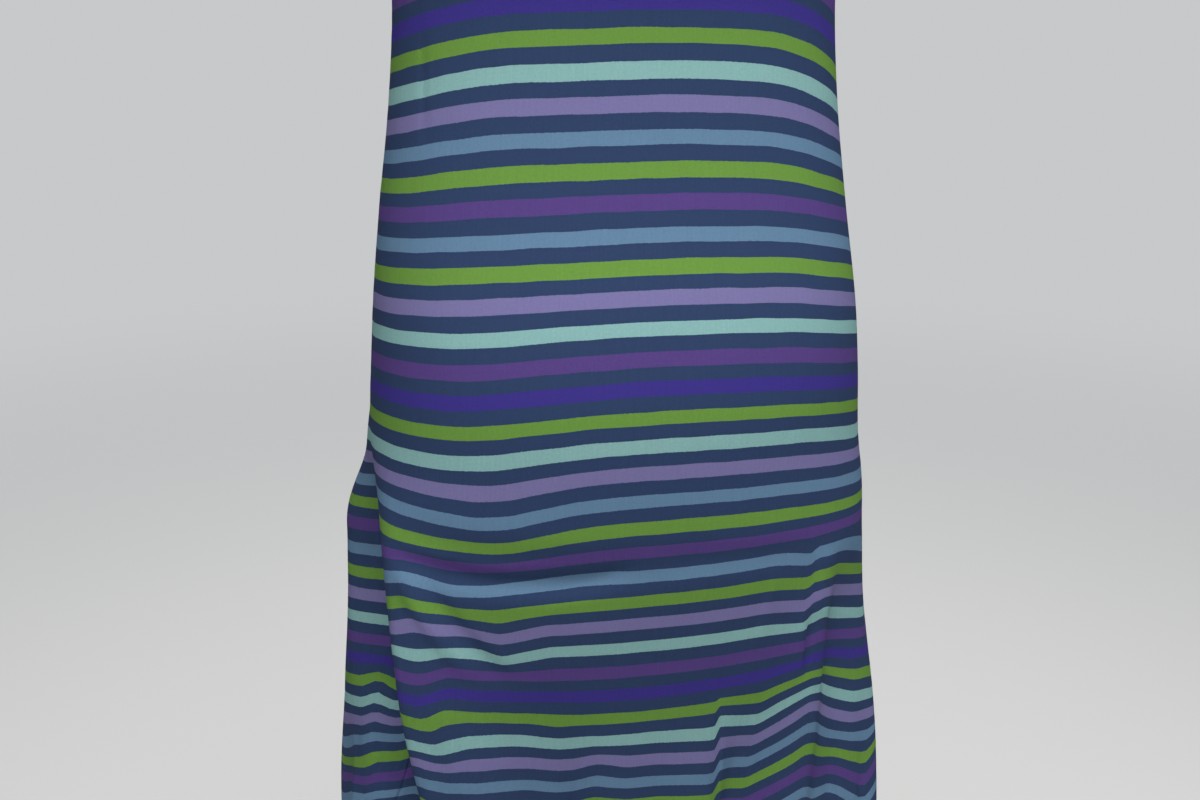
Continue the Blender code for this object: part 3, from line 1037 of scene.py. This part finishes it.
def hem_stitches(bm, level):
    """A row of stitches once round the hem, at a level."""
    ring = []
    for number in range(HEM_RING_POINTS):
        place = tube_place(-1 + 4 * number / HEM_RING_POINTS, level)
        ring.append((place.point, place.normal))
    stitch_row(bm, evenly(ring, stitch_spacing()))


def binding_stitches(bm, loop):
    """A row of stitches along a binding, near the edge that lies on the panel."""
    loop = evenly(loop, stitch_spacing())
    rise = BINDING_PROUD + BINDING_STITCH_RISE
    row = []
    for (point, normal), way in zip(loop, open_side(loop)):
        row.append((point + way * BINDING_STITCH_IN + normal * rise, normal))
    stitch_row(bm, row)


# --- materials ---

KNIT_BUMP = 0.00025
KNIT_BUMP_STRENGTH = 0.55
KNIT_WANDER_SCALE = 900.0
KNIT_SLANT = 0.8
STREAK_SCALE = (650.0, 45.0, 1.0)
MOTTLE_SCALE = (520.0, 620.0, 1.0)
STRIPE_EDGE_SCALE = (900.0, 500.0, 1.0)
STRIPE_EDGE_WANDER = 0.0009
THREAD_MOTTLE_SCALE = 4000.0


class Nodes:
    """Short ways to add nodes to a tree and to feed them."""

    def __init__(self, tree):
        self.tree = tree

    def give(self, socket, value):
        """Links another socket to this one, or sets a plain value on it."""
        if isinstance(value, bpy.types.NodeSocket):
            self.tree.links.new(value, socket)
        else:
            socket.default_value = value

    def feed(self, node, **values):
        """Feeds a node's inputs, which are named with underscores for spaces."""
        for name, value in values.items():
            self.give(node.inputs[name.replace("_", " ")], value)
        return node

    def add(self, kind, **settings):
        node = self.tree.nodes.new(kind)
        for name, value in settings.items():
            setattr(node, name, value)
        return node

    def math(self, operation, *values):
        node = self.add("ShaderNodeMath", operation=operation)
        for socket, value in zip(node.inputs, values):
            self.give(socket, value)
        return node.outputs[0]

    def noise(self, vector, scale=1.0, detail=2.0):
        node = self.add("ShaderNodeTexNoise")
        return self.feed(node, Vector=vector, Scale=scale, Detail=detail).outputs["Fac"]

    def uneven(self, *noise):
        """Noise around zero."""
        return self.math("SUBTRACT", self.noise(*noise), 0.5)

    def stretched(self, vector, scale):
        return self.feed(self.add("ShaderNodeMapping"), Vector=vector, Scale=scale).outputs[0]

    def parts(self, vector):
        return self.feed(self.add("ShaderNodeSeparateXYZ"), Vector=vector).outputs

    def shaded(self, colour, shade):
        """A colour multiplied by a shade."""
        node = self.add("ShaderNodeVectorMath", operation="SCALE")
        return self.feed(node, Vector=colour, Scale=shade).outputs[0]

    def effect(self, name, make, cloth):
        """What a shader group gives at the cloth's marks."""
        node = self.add("ShaderNodeGroup", node_tree=made_once(bpy.data.node_groups, name, make))
        return self.feed(node, Cloth=cloth).outputs[0]


def made_once(collection, name, make, *given):
    """The data of that name, made where it isn't there yet."""
    return collection.get(name) or make(name, *given)


def new_group(name, factors, output):
    """A shader group that takes the cloth's marks and named factors and gives a value."""
    group = bpy.data.node_groups.new(name, "ShaderNodeTree")
    sockets = group.interface
    sockets.new_socket("Cloth", in_out="INPUT", socket_type="NodeSocketVector")
    for label, default in factors.items():
        factor = sockets.new_socket(label, in_out="INPUT", socket_type="NodeSocketFloat")
        factor.default_value = default
    sockets.new_socket(output, in_out="OUTPUT", socket_type="NodeSocketFloat")
    nodes = Nodes(group)
    return nodes, nodes.add("NodeGroupInput").outputs, nodes.add("NodeGroupOutput").inputs


def knit_relief(name):
    """The height of plain knit: columns of small slanted legs, in the cloth's marks."""
    factors = {"Column width": 0.0008, "Row height": 0.0006, "Unevenness": 0.3}
    nodes, given, result = new_group(name, factors, "Height")
    across, up, _ = nodes.parts(given["Cloth"])
    wander = nodes.uneven(given["Cloth"], KNIT_WANDER_SCALE)
    wander = nodes.math("MULTIPLY", wander, given["Unevenness"])
    columns = nodes.math("DIVIDE", across, given["Column width"])
    leg = nodes.math("PINGPONG", nodes.math("ADD", columns, wander), 0.5)
    leg = nodes.math("MULTIPLY", leg, 2.0)
    rows = nodes.math("DIVIDE", up, given["Row height"])
    slant = nodes.math("MULTIPLY_ADD", leg, KNIT_SLANT, rows)
    wave = nodes.math("SINE", nodes.math("MULTIPLY", slant, 2 * math.pi))
    wave = nodes.math("MULTIPLY_ADD", wave, 0.25, 0.25)
    crown = nodes.math("SINE", nodes.math("MULTIPLY", leg, math.pi))
    nodes.give(result["Height"], nodes.math("MULTIPLY_ADD", crown, 0.5, wave))
    return nodes.tree


def yarn_shade(name):
    """Faint streaks and mottling of knitted cotton: a factor around one."""
    nodes, given, result = new_group(name, {"Streaks": 0.16, "Mottling": 0.22}, "Shade")
    streaks = nodes.uneven(nodes.stretched(given["Cloth"], STREAK_SCALE), 1.0, 3.0)
    mottle = nodes.uneven(nodes.stretched(given["Cloth"], MOTTLE_SCALE))
    shade = nodes.math("MULTIPLY_ADD", streaks, given["Streaks"], 1.0)
    shade = nodes.math("MULTIPLY_ADD", mottle, given["Mottling"], shade)
    nodes.give(result["Shade"], shade)
    return nodes.tree


def new_material(name):
    """A material with its nodes and its shader."""
    material = bpy.data.materials.new(name)
    material.use_nodes = True
    return material, Nodes(material.node_tree), material.node_tree.nodes["Principled BSDF"]


def cloth_material(name, coloured):
    """Knitted cotton. coloured makes its colour from the nodes and the cloth's marks."""
    material, nodes, shader = new_material(name)
    cloth = nodes.add("ShaderNodeUVMap", uv_map="cloth").outputs["UV"]
    relief = nodes.effect("Knit relief", knit_relief, cloth)
    shade = nodes.effect("Yarn shade", yarn_shade, cloth)
    bump = nodes.add("ShaderNodeBump")
    nodes.feed(bump, Distance=KNIT_BUMP, Strength=KNIT_BUMP_STRENGTH, Height=relief)
    nodes.feed(
        shader,
        Base_Color=nodes.shaded(coloured(nodes, cloth), shade),
        Roughness=nodes.math("MULTIPLY_ADD", relief, -0.08, 0.92),
        Specular_IOR_Level=0.12,
        Normal=bump.outputs["Normal"],
    )
    return material


def yarn_light(name):
    """A yarn's colour as light values."""
    return Color(getattr(yarns(), name)).from_srgb_to_scene_linear()


def striped_colour(nodes, cloth):
    """Stripes by the way up in the cloth, with edges as uneven as a row of stitches."""
    wander = nodes.uneven(nodes.stretched(cloth, STRIPE_EDGE_SCALE))
    up = nodes.math("MULTIPLY_ADD", wander, STRIPE_EDGE_WANDER, nodes.parts(cloth)["Y"])
    pitch = sizes().stripe_pitch
    down = nodes.math("SUBTRACT", FIRST_STRIPE_LEVEL * MM + pitch / 4, up)
    share = nodes.math("FRACT", nodes.math("DIVIDE", down, pitch * len(STRIPES)))
    ramp = nodes.add("ShaderNodeValToRGB")
    bands = ramp.color_ramp
    bands.interpolation = "CONSTANT"
    colours = [name for stripe in STRIPES for name in (stripe, "navy")]
    for number, name in enumerate(colours):
        start = number / len(colours)
        stop = bands.elements[number] if number < 2 else bands.elements.new(start)
        stop.position = start
        stop.color = (*yarn_light(name), 1.0)
    return nodes.feed(ramp, Fac=share).outputs["Color"]


def navy_colour(nodes, cloth):
    return yarn_light("navy")


def thread_material(name):
    material, nodes, shader = new_material(name)
    place = nodes.add("ShaderNodeTexCoord").outputs["Object"]
    shade = nodes.math("MULTIPLY_ADD", nodes.noise(place, THREAD_MOTTLE_SCALE), 0.3, 0.85)
    nodes.feed(shader, Base_Color=nodes.shaded(yarn_light("thread"), shade), Roughness=0.6)
    return material


def jersey():
    return made_once(bpy.data.materials, "striped_jersey_cloth", cloth_material, striped_colour)


def trim():
    return made_once(bpy.data.materials, "navy_jersey_cloth", cloth_material, navy_colour)


def thread():
    return made_once(bpy.data.materials, "sewing_thread", thread_material)


# --- stage ---

FLOOR_RADIUS = 3.4
FLOOR_WHOLE_RADIUS = 0.3
FLOOR_SIDES = 96
FLOOR_COLOUR = (0.72, 0.72, 0.71, 1.0)
FLOOR_ROUGHNESS = 0.8
ROOM_COLOUR = (0.90, 0.91, 0.93, 1.0)
BACKDROP_STRENGTH = 0.64
SENSOR_WIDTH = 36.0

# Soft lights, in metres: where each stands, what it points at, and how wide and high it is.
Softbox = namedtuple("Softbox", "name place target width height")
SOFTBOXES = (
    Softbox("top_light", Vector((-0.02, -0.85, 1.5)), Vector((0, 0, -0.5)), 2.4, 1.2),
    Softbox("front_light", Vector((-0.05, -1.5, 0.3)), Vector((0, 0, -0.3)), 1.6, 0.8),
    Softbox("back_light", Vector((0.3, 2.1, 0.8)), Vector((0, 0, -0.5)), 1.6, 1.2),
)


def floor_material(name):
    """A matt floor that thins out with the distance from the dress."""
    material, nodes, shader = new_material(name)
    nodes.feed(shader, Base_Color=FLOOR_COLOUR, Roughness=FLOOR_ROUGHNESS)
    place = nodes.add("ShaderNodeTexCoord").outputs["Object"]
    away = nodes.add("ShaderNodeVectorMath", operation="LENGTH")
    nodes.feed(away, Vector=nodes.stretched(place, (1.0, 1.0, 0.0)))
    thinned = nodes.add("ShaderNodeMapRange", interpolation_type="SMOOTHSTEP")
    nodes.feed(thinned, Value=away.outputs["Value"], From_Min=FLOOR_WHOLE_RADIUS, From_Max=FLOOR_RADIUS)
    blend = nodes.add("ShaderNodeMixShader")
    clear = nodes.add("ShaderNodeBsdfTransparent")
    for socket, source in zip(blend.inputs, (thinned, shader, clear)):
        nodes.give(socket, source.outputs[0])
    nodes.feed(material.node_tree.nodes["Material Output"], Surface=blend.outputs[0])
    return material


def add_floor():
    bm = bmesh.new()
    bmesh.ops.create_circle(bm, cap_ends=True, segments=FLOOR_SIDES, radius=FLOOR_RADIUS)
    bmesh.ops.translate(bm, verts=bm.verts, vec=(0, 0, studio().floor_level))
    add_mesh("floor", bm, made_once(bpy.data.materials, "pale_floor", floor_material))


def add_camera():
    values = studio()
    camera = add_object("camera", bpy.data.cameras.new("camera"))
    camera.data.lens = values.lens
    camera.data.sensor_width = SENSOR_WIDTH
    swing = values.swing
    back = Vector((-math.sin(swing), -math.cos(swing), 0))
    left = Vector((-math.cos(swing), math.sin(swing), 0))
    camera.location = back * values.distance + left * values.side_step
    camera.location.z = values.camera_level
    camera.rotation_euler = (math.pi / 2 - values.tilt, 0, -swing)
    bpy.context.scene.camera = camera


def add_softbox(box):
    light = bpy.data.lights.new(box.name, "AREA")
    light.shape = "ELLIPSE"
    light.size = box.width
    light.size_y = box.height
    light.energy = getattr(studio(), box.name)
    lamp = add_object(box.name, light)
    lamp.location = box.place
    lamp.rotation_euler = (box.target - box.place).to_track_quat("-Z", "Y").to_euler()


def light_room():
    """Even light from all round, in front of a brighter backdrop that only the camera sees."""
    scene = bpy.context.scene
    scene.world = bpy.data.worlds.new("room")
    scene.world.use_nodes = True
    nodes = Nodes(scene.world.node_tree)
    seen = nodes.add("ShaderNodeLightPath").outputs["Is Camera Ray"]
    dim = studio().room_light
    shown = nodes.math("MULTIPLY_ADD", seen, BACKDROP_STRENGTH - dim, dim)
    nodes.feed(nodes.tree.nodes["Background"], Color=ROOM_COLOUR, Strength=shown)
    scene.view_settings.view_transform = "Standard"


# --- operators, a piece or group of like pieces each ---


class DRESS_OT_front(bpy.types.Operator):
    """Lay the front panel on its form"""

    bl_idname = "dress.front"
    bl_label = "Front"

    def execute(self, context):
        piece = sheet_piece("front_cloth", Panel(FRONT, FRONT_SPANS), jersey())
        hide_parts("front_panel")
        return {"FINISHED"}


class DRESS_OT_back(bpy.types.Operator):
    """Lay the back panel on its form"""

    bl_idname = "dress.back"
    bl_label = "Back"

    def execute(self, context):
        piece = sheet_piece("back_cloth", Panel(BACK, BACK_SPANS), jersey())
        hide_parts("back_panel")
        return {"FINISHED"}


class DRESS_OT_bindings(bpy.types.Operator):
    """Bind the neckline and both armholes with folded strips"""

    bl_idname = "dress.bindings"
    bl_label = "Bindings"

    def execute(self, context):
        loops = {
            "neck_binding": neck_loop(),
            "armhole_binding_left": armhole_loop(-1),
            "armhole_binding_right": armhole_loop(1),
        }
        for node, loop in loops.items():
            piece = binding_piece(node + "_cloth", loop, trim())
            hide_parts(node)
        return {"FINISHED"}


class DRESS_OT_stitching(bpy.types.Operator):
    """Sew the hem's two rows of stitches and the row along each binding"""

    bl_idname = "dress.stitching"
    bl_label = "Stitching"

    def execute(self, context):
        hem = bmesh.new()
        for level in stitch_levels():
            hem_stitches(hem, level)
        finished_piece("hem_stitches", hem, thread())
        bound = bmesh.new()
        for loop in (neck_loop(), armhole_loop(-1), armhole_loop(1)):
            binding_stitches(bound, loop)
        finished_piece("binding_stitches", bound, thread())
        return {"FINISHED"}


class DRESS_OT_stage(bpy.types.Operator):
    """Set up the floor, the soft light and the camera"""

    bl_idname = "dress.stage"
    bl_label = "Stage"

    def execute(self, context):
        add_floor()
        add_camera()
        light_room()
        for box in SOFTBOXES:
            add_softbox(box)
        return {"FINISHED"}


OPERATORS = (DRESS_OT_front, DRESS_OT_back, DRESS_OT_bindings, DRESS_OT_stitching, DRESS_OT_stage)


class DRESS_PT_panel(bpy.types.Panel):
    """The dress's pieces and what can be set on them"""

    bl_idname = "DRESS_PT_panel"
    bl_label = "Tank dress"
    bl_space_type = "VIEW_3D"
    bl_region_type = "UI"
    bl_category = "Dress"

    def draw(self, context):
        for group in (sizes(), yarns(), studio()):
            box = self.layout.box()
            for name in group.__annotations__:
                box.prop(group, name)
        for operator in OPERATORS:
            self.layout.operator(operator.bl_idname)


GROUPS = (("dress_sizes", ClothSizes), ("dress_yarns", YarnColours), ("dress_studio", StudioValues))


def register():
    for name, group in GROUPS:
        bpy.utils.register_class(group)
        setattr(bpy.types.Scene, name, PointerProperty(type=group))
    for kind in (*OPERATORS, DRESS_PT_panel):
        bpy.utils.register_class(kind)


def unregister():
    for kind in (DRESS_PT_panel, *reversed(OPERATORS)):
        bpy.utils.unregister_class(kind)
    for name, group in reversed(GROUPS):
        delattr(bpy.types.Scene, name)
        bpy.utils.unregister_class(group)


def main():
    register()
    bpy.ops.dress.front()
    bpy.ops.dress.back()
    bpy.ops.dress.bindings()
    bpy.ops.dress.stitching()
    bpy.ops.dress.stage()


if __name__ == "__main__":
    main()
